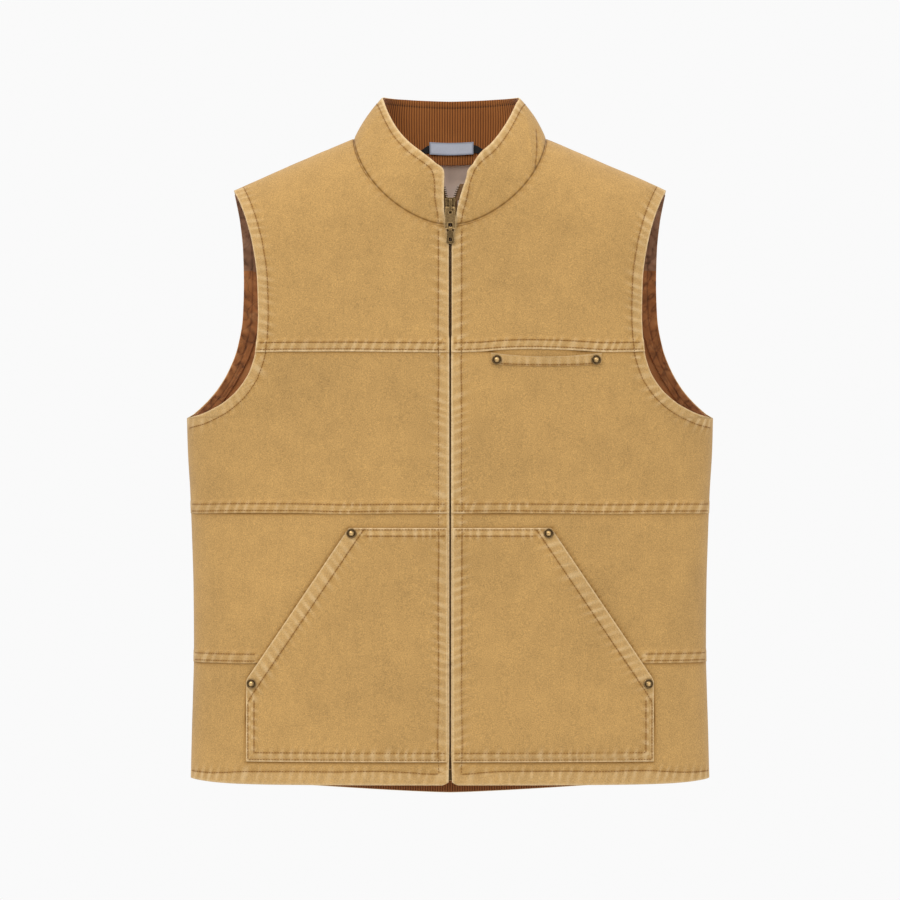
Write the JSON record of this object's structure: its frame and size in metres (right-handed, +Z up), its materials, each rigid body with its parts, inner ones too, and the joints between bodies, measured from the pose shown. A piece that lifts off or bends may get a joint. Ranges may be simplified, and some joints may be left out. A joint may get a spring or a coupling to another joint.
{
  "type": "zip-up work vest",
  "caption": "Zip-up canvas work vest with a stand collar lined in corduroy, slanted patch pockets, a chest pocket, and a brass zip with a swinging pull; held up as if worn.",
  "frame": {"origin": "centre of the neck at the height where the shoulder seams meet the collar", "axes": "+Z up, front of the vest to -Y, wearer's left to +X"},
  "size_m": [0.562, 0.1571, 0.7469],
  "materials": {
    "canvas": "washed tan cotton duck, worn pale at the edges",
    "quilted_lining": "rust brown quilted satin lining",
    "grey_lining": "beige grey plain lining",
    "brown_facing": "dark brown facing cloth",
    "corduroy": "rust brown corduroy with upright wales",
    "antique_brass": "antique brass, dark in the hollows",
    "zip_tape": "brown woven zip tape",
    "label": "bare blue grey woven label",
    "hanger_tape": "black cotton tape"
  },
  "bodies": {
    "vest": {"front_yoke_left": "canvas", "front_chest_left": "canvas", "front_waist_left": "canvas", "front_hem_left": "canvas", "front_yoke_right": "canvas", "front_chest_right": "canvas", "front_waist_right": "canvas", "front_hem_right": "canvas", "back_panel": "canvas", "collar_shell": "canvas", "pocket_left": "canvas", "pocket_right": "canvas", "chest_welt": "canvas", "lining_back": "quilted_lining", "lining_back_yoke": "grey_lining", "armhole_facing_left": "brown_facing", "armhole_facing_right": "brown_facing", "back_hem_facing": "brown_facing", "collar_lining": "corduroy", "rivet_pocket_left_top": "antique_brass", "rivet_pocket_left_side": "antique_brass", "rivet_pocket_right_top": "antique_brass", "rivet_pocket_right_side": "antique_brass", "rivet_chest_inner": "antique_brass", "rivet_chest_outer": "antique_brass", "zipper_chain": "antique_brass", "zipper_box": "antique_brass", "zipper_teeth_left": "antique_brass", "zipper_teeth_right": "antique_brass", "zipper_slider": "antique_brass", "zipper_tape_left": "zip_tape", "zipper_tape_right": "zip_tape", "neck_label": "label", "hanger_loop": "hanger_tape"},
    "pull_plate": {"pull_plate": "antique_brass"},
    "pull_tab": {"pull_tab": "antique_brass"}
  },
  "joints": [
    {"name": "pull_swing", "type": "hinge", "parent": "vest", "child": "pull_plate", "pos_m": [0.0003, -0.06657, -0.07535], "axis": [-1, 0, 0], "range_deg": [0, 130]},
    {"name": "tab_swing", "type": "hinge", "parent": "pull_plate", "child": "pull_tab", "pos_m": [0.0003, -0.06944, -0.09716], "axis": [-1, 0, 0], "range_deg": [0, 110]}
  ]
}
